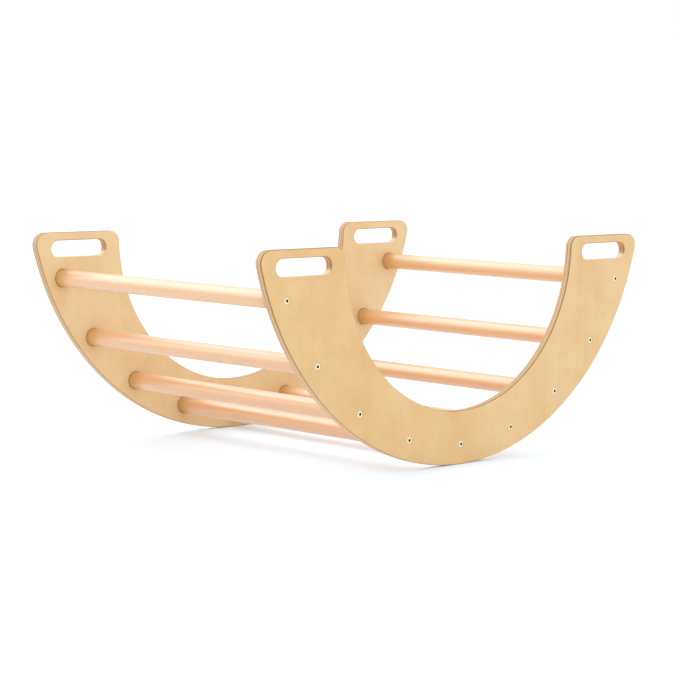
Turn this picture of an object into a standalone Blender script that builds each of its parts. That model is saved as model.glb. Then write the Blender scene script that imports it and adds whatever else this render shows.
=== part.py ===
"""A climbing arch rocker: two curved plywood side panels joined by beech rungs.

Row frame: metres, +Z up, X along the rocker, Y across it. The origin is on the floor,
midway between the panels, under the lowest point of the rocking edges.
The rungs seat in blind sockets in the panels. At each end a countersunk bolt passes
through the panel into a threaded insert that is pressed into the rung.
"""

import math

import bmesh
import bpy
from mathutils import Matrix, Vector

# Side panels
ROCKER_RADIUS = 0.500
PANEL_HEIGHT = 0.400
PANEL_THICKNESS = 0.015
CLEAR_WIDTH = 0.600
CRADLE_RADIUS = 0.293
CRADLE_CENTRE_DROP = 0.010
CORNER_RADIUS = 0.022
EDGE_ROUND = 0.002

# Handle slots in the four tips
HANDLE_HEIGHT = 0.030
HANDLE_BAR = 0.0155
HANDLE_SIDE = 0.0325

# Rungs
RUNG_COUNT = 9
RUNG_DIAMETER = 0.032
RUNG_INSET = 0.036
TOP_RUNG_DROP = 0.0395
SOCKET_DEPTH = 0.005

# Countersunk bolts
BOLT_DIAMETER = 0.006
BOLT_REACH = 0.020
HEAD_DIAMETER = 0.012
HEAD_RIM = 0.0006
HEAD_SINK = 0.0004
HEX_ACROSS_FLATS = 0.004
HEX_DEPTH = 0.0026

# Threaded inserts
INSERT_DIAMETER = 0.010
INSERT_LENGTH = 0.016
INSERT_SINK = 0.0005
BORE_BEYOND = 0.004

# Clearances
FIT_GAP = 0.0003
CUTTER_OVERRUN = 0.002

# Facets of round shapes
ROCKER_FACETS = 65
CRADLE_FACETS = 44
CORNER_FACETS = 5
SLOT_END_FACETS = 9
EDGE_FACETS = 2
RUNG_SIDES = 32
FASTENER_SIDES = 16
MERGE_DISTANCE = 0.00001
FLAT_ANGLE = math.radians(0.05)
SHARP_ANGLE = math.radians(40.0)

ROCKER_CENTRE = Vector((0.0, ROCKER_RADIUS))
CRADLE_CENTRE = Vector((0.0, PANEL_HEIGHT - CRADLE_CENTRE_DROP))
RUNG_CIRCLE_RADIUS = ROCKER_RADIUS - RUNG_INSET
TOP_RUNG_HEIGHT = PANEL_HEIGHT - HANDLE_BAR - HANDLE_HEIGHT - TOP_RUNG_DROP
TOP_RUNG_ANGLE = math.acos((ROCKER_RADIUS - TOP_RUNG_HEIGHT) / RUNG_CIRCLE_RADIUS)
RUNG_PITCH_ANGLE = 2 * TOP_RUNG_ANGLE / (RUNG_COUNT - 1)
PANEL_OUTER_Y = CLEAR_WIDTH / 2 + PANEL_THICKNESS
SOCKET_FLOOR_Y = CLEAR_WIDTH / 2 + SOCKET_DEPTH
RUNG_END_Y = SOCKET_FLOOR_Y - FIT_GAP
INSERT_MOUTH_Y = RUNG_END_Y - INSERT_SINK
HEAD_TOP_Y = PANEL_OUTER_Y - HEAD_SINK
BOLT_LENGTH = HEAD_TOP_Y - RUNG_END_Y + BOLT_REACH
BORE_DEPTH = max(BOLT_REACH, INSERT_SINK + INSERT_LENGTH) + BORE_BEYOND


def clear_scene():
    for obj in list(bpy.data.objects):
        bpy.data.objects.remove(obj, do_unlink=True)


def new_collection(name, hidden=False):
    collection = bpy.data.collections.new(name)
    collection.hide_render = hidden
    bpy.context.scene.collection.children.link(collection)
    return collection


def new_material(name, colour, roughness, metallic):
    material = bpy.data.materials.new(name)
    material.use_nodes = True
    shader = material.node_tree.nodes["Principled BSDF"]
    shader.inputs["Base Color"].default_value = (*colour, 1.0)
    shader.inputs["Roughness"].default_value = roughness
    shader.inputs["Metallic"].default_value = metallic
    return material


def mesh_from_object(obj, name, merge=0.0):
    """The evaluated shape of an object as a new mesh, each flat area kept in few faces."""
    graph = bpy.context.evaluated_depsgraph_get()
    graph.update()
    mesh = bpy.data.meshes.new_from_object(obj.evaluated_get(graph))
    mesh.name = name
    shape = bmesh.new()
    shape.from_mesh(mesh)
    if merge:
        bmesh.ops.remove_doubles(shape, verts=shape.verts, dist=merge)
    bmesh.ops.dissolve_limit(
        shape, angle_limit=FLAT_ANGLE, verts=shape.verts, edges=shape.edges
    )
    shape.to_mesh(mesh)
    shape.free()
    return mesh


def arc(centre, radius, start, end, facets):
    """Points on an arc. Angles run from straight down towards +X."""
    points = []
    for step in range(facets + 1):
        angle = start + (end - start) * step / facets
        reach = Vector((math.sin(angle), -math.cos(angle)))
        points.append(centre + reach * radius)
    return points


def angle_from_down(centre, point):
    return math.atan2(point.x - centre.x, centre.y - point.y)


def outer_corner_centre():
    """Centre of the fillet between the rocking edge and the top of a tip."""
    height = PANEL_HEIGHT - CORNER_RADIUS
    reach = ROCKER_RADIUS - CORNER_RADIUS
    return Vector((math.sqrt(reach**2 - (ROCKER_CENTRE.y - height) ** 2), height))


def inner_corner_centre():
    """Centre of the fillet between the cradle and the top of a tip."""
    height = PANEL_HEIGHT - CORNER_RADIUS
    reach = CRADLE_RADIUS + CORNER_RADIUS
    below = min(0.0, height - CRADLE_CENTRE.y)
    return Vector((math.sqrt(reach**2 - below**2), height))


def panel_outline():
    """The panel's edge as seen from the side, anticlockwise from its left outer corner."""
    outer_corner = outer_corner_centre()
    inner_corner = inner_corner_centre()
    outer_end = angle_from_down(ROCKER_CENTRE, outer_corner)
    inner_end = min(math.pi / 2, angle_from_down(CRADLE_CENTRE, inner_corner))
    half_facet = outer_end / ROCKER_FACETS
    top = math.pi
    rocking_edge = arc(
        ROCKER_CENTRE,
        ROCKER_RADIUS / math.cos(half_facet),
        -outer_end + 2 * half_facet,
        outer_end - 2 * half_facet,
        ROCKER_FACETS - 2,
    )
    right_outer = arc(outer_corner, CORNER_RADIUS, outer_end, top, CORNER_FACETS)
    right_inner = arc(inner_corner, CORNER_RADIUS, top, math.pi + inner_end, CORNER_FACETS)
    cradle = arc(CRADLE_CENTRE, CRADLE_RADIUS, inner_end, -inner_end, CRADLE_FACETS)
    half_corners = right_outer + right_inner
    left_corners = [Vector((-p.x, p.y)) for p in reversed(half_corners)]
    if (cradle[0] - right_inner[-1]).length < MERGE_DISTANCE:
        cradle = cradle[1:-1]
    return rocking_edge + half_corners + cradle + left_corners


def handle_slot():
    """Centre and length of the right handle slot, which keeps its margins in the tip."""
    height = PANEL_HEIGHT - HANDLE_BAR - HANDLE_HEIGHT / 2
    outer = math.sqrt(ROCKER_RADIUS**2 - (ROCKER_CENTRE.y - height) ** 2)
    below = min(0.0, height - CRADLE_CENTRE.y)
    inner = math.sqrt(CRADLE_RADIUS**2 - below**2)
    return Vector(((outer + inner) / 2, height)), outer - inner - 2 * HANDLE_SIDE


def slot_outline(centre, length):
    radius = HANDLE_HEIGHT / 2
    half_straight = Vector((length / 2 - radius, 0.0))
    right_end = arc(centre + half_straight, radius, 0.0, math.pi, SLOT_END_FACETS)
    left_end = arc(centre - half_straight, radius, math.pi, 2 * math.pi, SLOT_END_FACETS)
    return right_end + left_end


def panel_blank():
    """The panel before drilling: a flat outline with two slots, its edges rounded over."""
    curve = bpy.data.curves.new("panel_outline", "CURVE")
    curve.dimensions = "2D"
    curve.fill_mode = "BOTH"
    curve.extrude = PANEL_THICKNESS / 2 - EDGE_ROUND
    curve.bevel_depth = EDGE_ROUND
    curve.bevel_resolution = EDGE_FACETS - 1
    curve.offset = -EDGE_ROUND
    right, length = handle_slot()
    left = Vector((-right.x, right.y))
    outlines = (panel_outline(), slot_outline(right, length), slot_outline(left, length))
    for outline in outlines:
        spline = curve.splines.new("POLY")
        spline.points.add(len(outline) - 1)
        for point, corner in zip(spline.points, outline):
            point.co = (corner.x, corner.y, 0.0, 1.0)
        spline.use_cyclic_u = True
    blank = bpy.data.objects.new("panel_outline", curve)
    bpy.context.scene.collection.objects.link(blank)
    mesh = mesh_from_object(blank, "side_panel", MERGE_DISTANCE)
    bpy.data.objects.remove(blank)
    return mesh


def turned(name, profile, sides):
    """A solid turned about its own Z axis from (radius, height) points, top to bottom."""
    mesh = bpy.data.meshes.new(name)
    points = [(radius, 0.0, height) for radius, height in profile]
    edges = [(i, i + 1) for i in range(len(points) - 1)]
    if profile[0][0] > 0:
        edges.append((len(points) - 1, 0))
    mesh.from_pydata(points, edges, [])
    obj = bpy.data.objects.new(name, mesh)
    bpy.context.scene.collection.objects.link(obj)
    screw = obj.modifiers.new("turn", "SCREW")
    screw.axis = "Z"
    screw.steps = sides
    screw.render_steps = sides
    screw.use_merge_vertices = True
    screw.merge_threshold = MERGE_DISTANCE
    turned_mesh = mesh_from_object(obj, name, MERGE_DISTANCE)
    bpy.data.objects.remove(obj)
    return turned_mesh


def place(name, mesh, collection, matrix, material=None):
    """A new object with this mesh. Objects that share a mesh share its material."""
    obj = bpy.data.objects.new(name, mesh)
    collection.objects.link(obj)
    obj.matrix_world = matrix
    if material and not mesh.materials:
        mesh.materials.append(material)
    return obj


def shade(mesh):
    """Smooth shading on round walls, with the sharper edges kept crisp."""
    mesh.shade_smooth()
    mesh.set_sharp_from_angle(angle=SHARP_ANGLE)


def cut_mesh(name, blank_mesh, cutters, collection):
    """The blank with each cutter taken away, as a new mesh. The cutters stay as guides."""
    blank = place(name + "_blank", blank_mesh, collection, Matrix())
    for cutter in cutters:
        cutter.hide_render = True
        cutter.display_type = "WIRE"
        boolean = blank.modifiers.new("cut_" + cutter.name, "BOOLEAN")
        boolean.operation = "DIFFERENCE"
        boolean.solver = "EXACT"
        boolean.object = cutter
    bpy.context.view_layer.update()
    mesh = mesh_from_object(blank, name)
    bpy.data.objects.remove(blank)
    shade(mesh)
    return mesh


def cylinder_mesh(name, radius, depth, sides):
    """A closed cylinder about Z, centred on the origin."""
    shape = bmesh.new()
    bmesh.ops.create_cone(
        shape,
        cap_ends=True,
        segments=sides,
        radius1=radius,
        radius2=radius,
        depth=depth,
    )
    mesh = bpy.data.meshes.new(name)
    shape.to_mesh(mesh)
    shape.free()
    return mesh


def rung_axis(number):
    """(x, z) of a rung's axis. Rungs are numbered from the left tip to the right tip."""
    middle = (RUNG_COUNT + 1) / 2
    angle = (number - middle) * RUNG_PITCH_ANGLE
    reach = Vector((math.sin(angle), -math.cos(angle)))
    return ROCKER_CENTRE + reach * RUNG_CIRCLE_RADIUS


def socket_cutter_mesh():
    """The cutter for a rung's socket. Its zero is the panel's outer face."""
    radius = RUNG_DIAMETER / 2 + FIT_GAP
    profile = [
        (0.0, SOCKET_DEPTH - PANEL_THICKNESS),
        (radius, SOCKET_DEPTH - PANEL_THICKNESS),
        (radius, -PANEL_THICKNESS - CUTTER_OVERRUN),
        (0.0, -PANEL_THICKNESS - CUTTER_OVERRUN),
    ]
    return turned("socket_cutter", profile, RUNG_SIDES)


def bolt_hole_cutter_mesh():
    """The cutter for a bolt's hole and countersink. Its zero is the panel's outer face."""
    head = HEAD_DIAMETER / 2 + FIT_GAP * math.sqrt(2)
    hole = BOLT_DIAMETER / 2 + FIT_GAP * math.sqrt(2)
    rim = -HEAD_SINK - HEAD_RIM
    profile = [
        (0.0, CUTTER_OVERRUN),
        (head, CUTTER_OVERRUN),
        (head, rim),
        (hole, rim - (head - hole)),
        (hole, -PANEL_THICKNESS),
        (0.0, -PANEL_THICKNESS),
    ]
    return turned("bolt_hole_cutter", profile, FASTENER_SIDES)


def side_panel_mesh(guides):
    """The drilled panel. Its Y axis is up and its Z axis points out of the rocker."""
    socket_cutter = socket_cutter_mesh()
    hole_cutter = bolt_hole_cutter_mesh()
    cutters = []
    for number in range(1, RUNG_COUNT + 1):
        axis = rung_axis(number)
        matrix = Matrix.Translation((axis.x, axis.y, PANEL_THICKNESS / 2))
        cutters.append(place(f"socket_cutter_{number}", socket_cutter, guides, matrix))
        cutters.append(place(f"bolt_hole_cutter_{number}", hole_cutter, guides, matrix))
    return cut_mesh("side_panel", panel_blank(), cutters, guides)


def rung_mesh(guides):
    """A round rung along Z with a blind bore in each end for its insert and bolt."""
    blank = cylinder_mesh("rung_blank", RUNG_DIAMETER / 2, 2 * RUNG_END_Y, RUNG_SIDES)
    radius = INSERT_DIAMETER / 2 + FIT_GAP
    profile = [
        (0.0, CUTTER_OVERRUN),
        (radius, CUTTER_OVERRUN),
        (radius, -BORE_DEPTH),
        (0.0, -BORE_DEPTH),
    ]
    bore_mesh = turned("insert_bore_cutter", profile, FASTENER_SIDES)
    bores = []
    for word, facing in (("top", Matrix()), ("foot", Matrix.Rotation(math.pi, 4, "X"))):
        matrix = facing @ Matrix.Translation((0.0, 0.0, RUNG_END_Y))
        bores.append(place(f"insert_bore_cutter_{word}", bore_mesh, guides, matrix))
    return cut_mesh("rung", blank, bores, guides)


def bolt_mesh(guides):
    """A countersunk bolt along -Z from the top of its head, with a hexagon socket."""
    head = HEAD_DIAMETER / 2
    shank = BOLT_DIAMETER / 2
    profile = [
        (0.0, 0.0),
        (head, 0.0),
        (head, -HEAD_RIM),
        (shank, -HEAD_RIM - (head - shank)),
        (shank, -BOLT_LENGTH),
        (0.0, -BOLT_LENGTH),
    ]
    blank = turned("bolt_blank", profile, FASTENER_SIDES)
    corner_radius = HEX_ACROSS_FLATS / 2 / math.cos(math.pi / 6)
    hexagon = cylinder_mesh("hex_cutter", corner_radius, 2 * HEX_DEPTH, 6)
    cutters = [place("hex_cutter", hexagon, guides, Matrix())]
    return cut_mesh("bolt", blank, cutters, guides)


def insert_mesh():
    """A plain barrel insert along -Z from its mouth, with a bore clear of the bolt."""
    outer = INSERT_DIAMETER / 2
    bore = BOLT_DIAMETER / 2 + FIT_GAP
    profile = [
        (bore, 0.0),
        (outer, 0.0),
        (outer, -INSERT_LENGTH),
        (bore, -INSERT_LENGTH),
    ]
    insert = turned("insert_nut", profile, FASTENER_SIDES)
    shade(insert)
    return insert


def outward(side):
    """Turns local +Z to point out of the front (-1) or back (+1) panel, local Y to up."""
    if side < 0:
        return Matrix.Rotation(math.pi / 2, 4, "X")
    return Matrix.Rotation(math.pi, 4, "Z") @ Matrix.Rotation(math.pi / 2, 4, "X")


def build():
    clear_scene()
    rocker = new_collection("climbing_arch_rocker")
    guides = new_collection("cutters", hidden=True)
    birch = new_material("birch_plywood", (0.80, 0.59, 0.36), 0.45, 0.0)
    beech = new_material("beech", (0.86, 0.56, 0.36), 0.40, 0.0)
    steel = new_material("plated_steel", (0.80, 0.78, 0.72), 0.30, 1.0)
    brass = new_material("brass", (0.78, 0.60, 0.28), 0.35, 1.0)
    panel = side_panel_mesh(guides)
    rung = rung_mesh(guides)
    bolt = bolt_mesh(guides)
    insert = insert_mesh()
    for side, word in ((-1, "front"), (1, "back")):
        middle_y = side * (PANEL_OUTER_Y - PANEL_THICKNESS / 2)
        matrix = Matrix.Translation((0.0, middle_y, 0.0)) @ outward(side)
        place(f"side_panel_{word}", panel, rocker, matrix, birch)
        for number in range(1, RUNG_COUNT + 1):
            axis = rung_axis(number)
            head = Matrix.Translation((axis.x, side * HEAD_TOP_Y, axis.y))
            mouth = Matrix.Translation((axis.x, side * INSERT_MOUTH_Y, axis.y))
            place(f"bolt_{word}_{number}", bolt, rocker, head @ outward(side), steel)
            name = f"insert_nut_{word}_{number}"
            place(name, insert, rocker, mouth @ outward(side), brass)
    for number in range(1, RUNG_COUNT + 1):
        axis = rung_axis(number)
        matrix = Matrix.Translation((axis.x, 0.0, axis.y)) @ outward(-1)
        place(f"rung_{number}", rung, rocker, matrix, beech)


build()
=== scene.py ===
# %% [markdown]
# # A wooden climbing arch rocker
# The real toy is two curved side panels of birch plywood, held apart by nine round
# beech rungs. A countersunk bolt through each panel pulls every rung tight.
#
# A solid model of it is packed already. This lesson loads that model and gives it its
# looks: finer shapes in the same places, wood and metal finishes, a floor, lamps and a
# camera. The solid could simply be coloured in, but its curves are flat facets. So each
# piece that shows is modelled again with more steps, and stands in for its solid.

# %% Load the solid model
import math

import bmesh
import bpy
from mathutils import Matrix, Vector


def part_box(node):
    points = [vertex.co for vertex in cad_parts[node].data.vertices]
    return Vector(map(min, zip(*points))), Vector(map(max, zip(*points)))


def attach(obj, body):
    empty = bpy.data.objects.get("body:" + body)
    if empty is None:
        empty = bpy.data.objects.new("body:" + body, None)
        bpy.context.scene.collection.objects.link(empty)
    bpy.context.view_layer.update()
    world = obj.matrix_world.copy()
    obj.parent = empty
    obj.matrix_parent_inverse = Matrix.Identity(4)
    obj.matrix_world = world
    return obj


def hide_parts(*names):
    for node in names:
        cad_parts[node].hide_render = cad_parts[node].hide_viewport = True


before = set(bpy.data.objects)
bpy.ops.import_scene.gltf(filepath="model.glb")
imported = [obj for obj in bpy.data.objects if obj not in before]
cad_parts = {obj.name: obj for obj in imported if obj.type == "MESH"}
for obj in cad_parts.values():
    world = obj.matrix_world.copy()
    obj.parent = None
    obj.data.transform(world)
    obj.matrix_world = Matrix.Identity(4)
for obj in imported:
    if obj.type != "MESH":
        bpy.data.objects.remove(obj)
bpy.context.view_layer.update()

print("nodes loaded:", len(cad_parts))

# %% [markdown]
# ## Tools for the shapes
# Almost everything on this toy is an arc or something turned. So two moves make nearly
# all of it. The first is a point that walks round an outline: it turns about a centre,
# then steps along a straight side. The second is a profile spun round an axis.
#
# Both start from a few vertices and leave the rest to bmesh operators. An outline could
# be a Bezier curve instead, but a walked one has its points exactly where they are
# wanted, and lines of equal length can be bridged into clean bands of faces.

# %% Finish a bmesh as an object at the origin
CREASE_ANGLE = math.radians(30)


def finish_piece(shape, name, flat=()):
    """Turns a bmesh into an object with smooth curves and crisp arrises. The faces in
    flat are shaded flat, so that a curve beside them doesn't tint them."""
    for face in shape.faces:
        face.smooth = True
    for face in flat:
        face.smooth = False
    for edge in shape.edges:
        edge.smooth = edge.calc_face_angle(0.0) < CREASE_ANGLE
    mesh = bpy.data.meshes.new(name)
    shape.to_mesh(mesh)
    shape.free()
    piece = bpy.data.objects.new(name, mesh)
    bpy.context.scene.collection.objects.link(piece)
    return piece


# %% Walk a point round a closed outline
TURN_AXIS = (0.0, -1.0, 0.0)


def walk(shape, start, moves):
    """Draws a closed line and returns its edges. A move is (centre, angle, steps) for a
    turn, with a Vector for its centre, or the three numbers of a point to step to. The
    last point is joined to the first."""
    before = set(shape.edges)
    first = shape.verts.new(start)
    point = first
    for move in moves:
        if isinstance(move[0], Vector):
            centre, angle, steps = move
            made = bmesh.ops.spin(
                shape, geom=[point], cent=centre, axis=TURN_AXIS, angle=angle, steps=steps
            )
            point = made["geom_last"][0]
        else:
            made = bmesh.ops.extrude_vert_indiv(shape, verts=[point])
            point = made["verts"][0]
            point.co = move
    bmesh.ops.contextual_create(shape, geom=[point, first])
    return [edge for edge in shape.edges if edge not in before]


# %% Draw a circle that faces along Y
FACE_Y = Matrix.Rotation(math.pi / 2, 4, "X")


def circle(shape, centre, radius, steps):
    """Draws a circle round an axis along Y and returns its edges."""
    before = set(shape.edges)
    place = Matrix.Translation(centre) @ FACE_Y
    bmesh.ops.create_circle(shape, radius=radius, segments=steps, matrix=place)
    return [edge for edge in shape.edges if edge not in before]


# %% Join a stack of closed lines with bands of faces
def skin(shape, lines):
    """Bridges each line to the next. The lines have equal numbers of points."""
    for line, next_line in zip(lines, lines[1:]):
        bmesh.ops.bridge_loops(shape, edges=line + next_line)


# %% Spin a line of points round an axis along Y
SPIN_AXIS = (0.0, 1.0, 0.0)


def spin_line(shape, line, centre, steps):
    """Joins the points of a line and spins it a full turn about an axis along Y."""
    edges = [shape.edges.new(pair) for pair in zip(line, line[1:])]
    bmesh.ops.spin(
        shape,
        geom=line + edges,
        cent=centre,
        axis=SPIN_AXIS,
        angle=2 * math.pi,
        steps=steps,
        use_merge=True,
    )


# %% Turn a shape from its profile
MERGE_DISTANCE = 1e-6


def turned(profile, steps):
    """A turned shape from (radius, y) points. Each point on the axis is spun to a pile of
    points in one place, so these are merged."""
    shape = bmesh.new()
    line = [shape.verts.new((radius, y, 0.0)) for radius, y in profile]
    spin_line(shape, line, (0.0, 0.0, 0.0), steps)
    bmesh.ops.remove_doubles(shape, verts=shape.verts, dist=MERGE_DISTANCE)
    bmesh.ops.recalc_face_normals(shape, faces=shape.faces)
    return shape


# %% [markdown]
# ## The side panels
# A real panel is cut from a sheet of 15 mm plywood on a router. Its bottom edge is one
# large arc, so that the toy rocks, and the cradle between its two arms is a smaller arc.
# Each arm ends in a flat top with rounded corners and a slot for a hand. A round-over bit
# has taken the sharpness off every long edge, on both faces.
#
# The solid has the same outline in long facets. Here the outline is walked with finer
# steps. A Bevel modifier could round the edges, but on a face with holes in it the bevel
# leaves slivers. Instead the rounding is a stack of outlines, each a little larger and
# deeper than the last, and bridging them makes the wall and both round edges at once.

# %% Give the panel's sizes
ROCKER_RADIUS = 0.500
CRADLE_RADIUS = 0.293
CRADLE_CENTRE_DROP = 0.010
CORNER_RADIUS = 0.022
EDGE_ROUND = 0.002
HANDLE_HEIGHT = 0.030
HANDLE_BAR = 0.0155
HANDLE_SIDE = 0.0325
SOCKET_DEPTH = 0.005
SOCKET_RADIUS = 0.0163
SOCKET_RIM = 0.0006
HEAD_HOLE_RADIUS = 0.00625
HEAD_HOLE_RIM = 0.0010
BOLT_HOLE_RADIUS = 0.00342
BOX_CLEARANCE = 0.00015

panel_low, panel_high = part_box("side_panel_front")
PANEL_HEIGHT = panel_high.z - panel_low.z
PANEL_THICKNESS = panel_high.y - panel_low.y
OUTER_Y = panel_low.y
print(f"panel {PANEL_HEIGHT * 1000:.1f} mm high, {PANEL_THICKNESS * 1000:.1f} mm thick")

# %% Find where the panel's arcs meet
rocker_centre = Vector((0.0, 0.0, ROCKER_RADIUS))
cradle_centre = Vector((0.0, 0.0, PANEL_HEIGHT - CRADLE_CENTRE_DROP))
corner_height = PANEL_HEIGHT - CORNER_RADIUS
outer_rise = rocker_centre.z - corner_height
outer_reach = math.sqrt((ROCKER_RADIUS - CORNER_RADIUS) ** 2 - outer_rise**2)
outer_turn = math.atan2(outer_reach, outer_rise)
inner_rise = cradle_centre.z - corner_height
inner_reach = math.sqrt((CRADLE_RADIUS + CORNER_RADIUS) ** 2 - inner_rise**2)
inner_turn = math.atan2(inner_reach, inner_rise)
slot_height = PANEL_HEIGHT - HANDLE_BAR - HANDLE_HEIGHT / 2
slot_outer = math.sqrt(ROCKER_RADIUS**2 - (rocker_centre.z - slot_height) ** 2)
slot_middle = (slot_outer + CRADLE_RADIUS) / 2
slot_reach = (slot_outer - CRADLE_RADIUS) / 2 - HANDLE_SIDE - HANDLE_HEIGHT / 2
print(f"rocking edge turns {math.degrees(2 * outer_turn):.1f} degrees")
print(f"slot {(2 * slot_reach + HANDLE_HEIGHT) * 1000:.1f} mm long")

# %% Walk the panel's outline
ROCKER_STEPS = 180
CRADLE_STEPS = 120
CORNER_STEPS = 12


def panel_line(shape, y, inset):
    """The panel's outline at one depth, drawn smaller by the inset."""
    inset += BOX_CLEARANCE
    top = PANEL_HEIGHT - inset
    lift = Vector((0.0, y, 0.0))
    right_outer = Vector((outer_reach, y, corner_height))
    right_inner = Vector((inner_reach, y, corner_height))
    left_inner = Vector((-inner_reach, y, corner_height))
    left_outer = Vector((-outer_reach, y, corner_height))
    moves = [
        (left_outer, math.pi - outer_turn, CORNER_STEPS),
        (rocker_centre + lift, 2 * outer_turn, ROCKER_STEPS),
        (right_outer, math.pi - outer_turn, CORNER_STEPS),
        (inner_reach, y, top),
        (right_inner, inner_turn, CORNER_STEPS),
        (cradle_centre + lift, -2 * inner_turn, CRADLE_STEPS),
        (left_inner, inner_turn, CORNER_STEPS),
    ]
    return walk(shape, (-outer_reach, y, top), moves)


# %% Walk a hand slot's outline
SLOT_STEPS = 18


def slot_line(shape, middle_x, y, inset):
    """One hand slot at one depth. The slot is wider where the panel is drawn smaller."""
    radius = HANDLE_HEIGHT / 2 + inset
    left = Vector((middle_x - slot_reach, y, slot_height))
    right = Vector((middle_x + slot_reach, y, slot_height))
    moves = [
        (left, math.pi, SLOT_STEPS),
        (right.x, y, slot_height - radius),
        (right, math.pi, SLOT_STEPS),
    ]
    return walk(shape, (left.x, y, slot_height + radius), moves)


# %% [markdown]
# The rounding of an edge is a quarter circle. At each step of it the outline grows by a
# little and moves a little deeper. The same list, mirrored, rounds the other face.

# %% List the depths and insets of the rounded edge
EDGE_STEPS = 6

rounding = []
for step in range(EDGE_STEPS + 1):
    turn = math.pi / 2 * step / EDGE_STEPS
    rounding.append((EDGE_ROUND * (1 - math.cos(turn)), EDGE_ROUND * (1 - math.sin(turn))))
through = rounding + [(PANEL_THICKNESS - depth, inset) for depth, inset in reversed(rounding)]
print("outlines in the stack:", len(through))

# %% [markdown]
# ### Holes for the rungs and bolts
# From outside, each bolt hole is a shallow straight rim, a cone for the bolt's head and a
# straight hole. From inside, a round socket takes the end of the rung. All four share one
# axis, so together they are one profile, spun round it. They could be cut with Booleans,
# but a spun wall has even bands, and the flat faces of the panel can be filled round it.
#
# Where a rung enters its socket, the wood round it is painted a little darker, as painted
# shade in the corner between rung and panel. The profile runs on along the face for a
# few millimetres, and each of its points carries a number for that painted shade. The
# spin copies the number to every point it makes.

# %% Read the rungs' axes from the solid
RUNG_COUNT = 9

rung_places = []
for number in range(1, RUNG_COUNT + 1):
    low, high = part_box(f"rung_{number}")
    rung_places.append(((low.x + high.x) / 2, (low.z + high.z) / 2))
print("rung axes, mm:", [(round(x * 1000), round(z * 1000)) for x, z in rung_places])

# %% Draw the profile of one hole
HOLE_STEPS = 48
head_step = HEAD_HOLE_RADIUS - BOLT_HOLE_RADIUS
socket_floor = PANEL_THICKNESS - SOCKET_DEPTH
hole_profile = [
    (HEAD_HOLE_RADIUS, 0.0),
    (HEAD_HOLE_RADIUS, HEAD_HOLE_RIM),
    (BOLT_HOLE_RADIUS, HEAD_HOLE_RIM + head_step),
    (BOLT_HOLE_RADIUS, socket_floor),
    (SOCKET_RADIUS, socket_floor),
    (SOCKET_RADIUS, PANEL_THICKNESS - SOCKET_RIM),
]
# Painted shade round each socket: reach from the socket's rim, and how dark.
SOCKET_SHADE_RINGS = ((0.0, 0.60), (0.0015, 0.16), (0.004, 0.08), (0.008, 0.03), (0.013, 0.0))
for reach, _ in SOCKET_SHADE_RINGS:
    hole_profile.append((SOCKET_RADIUS + SOCKET_RIM + reach, PANEL_THICKNESS))
print("points in the profile of a hole:", len(hole_profile))


# %% Spin the profile round a rung's axis
def hole_wall(shape, x, z, shade_layer):
    """Makes one hole's wall. The numbers for the painted shade round the socket go into the
    given layer.
    """
    line = [shape.verts.new((x + radius, OUTER_Y + depth, z)) for radius, depth in hole_profile]
    for vert, (_, painted_shade) in zip(line[-len(SOCKET_SHADE_RINGS):], SOCKET_SHADE_RINGS):
        vert[shade_layer] = painted_shade
    spin_line(shape, line, (x, 0.0, z), HOLE_STEPS)


# %% [markdown]
# ### The wall of a hand slot
# The upper part of a slot's wall is painted browner than the other edges, as painted
# shade where little light gets in, and its lower part is painted cream, as painted light
# from above. A painted texture could show that. A number on each point of the wall is
# enough, because it only has to change with the height. It goes into the same layer as
# the painted shade round the sockets: above zero the wall is browner, and below zero it
# is paler.

# %% Paint light and shade on the wall of a slot
# Painted shade on the upper slot wall, painted light on the lower.
SLOT_PAINTED_SHADE = 0.42
SLOT_PAINTED_LIGHT = -0.80
LIT_BELOW = -0.08
LIGHT_STEEPNESS = 5


def shade_slot(outlines, shade_layer):
    """Numbers the points between the slot's two flat faces. Heights are counted from the
    slot's middle, in slot heights."""
    for vert in {vert for line in outlines[1:-1] for edge in line for vert in edge.verts}:
        height = (vert.co.z - slot_height) / HANDLE_HEIGHT
        slot_shading = SLOT_PAINTED_SHADE + LIGHT_STEEPNESS * (height - LIT_BELOW)
        vert[shade_layer] = max(SLOT_PAINTED_LIGHT, min(SLOT_PAINTED_SHADE, slot_shading))


# %% Build the walls of the near panel
shape = bmesh.new()
shade_layer = shape.verts.layers.float.new("shade")
skin(shape, [panel_line(shape, OUTER_Y + depth, inset) for depth, inset in through])
for middle_x in (-slot_middle, slot_middle):
    outlines = [slot_line(shape, middle_x, OUTER_Y + depth, inset) for depth, inset in through]
    skin(shape, outlines)
    shade_slot(outlines, shade_layer)
for x, z in rung_places:
    hole_wall(shape, x, z, shade_layer)
longest = max(edge.calc_length() for edge in shape.edges if len(edge.link_faces) == 2)
print(f"{len(shape.faces)} faces in the walls, longest edge {longest * 1000:.1f} mm")

# %% [markdown]
# The walls leave one opening at each face, bounded by the outline, the slots and the
# holes. `triangle_fill` fills what lies between them in one go. The result is flat, so
# its long triangles don't show.

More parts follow.
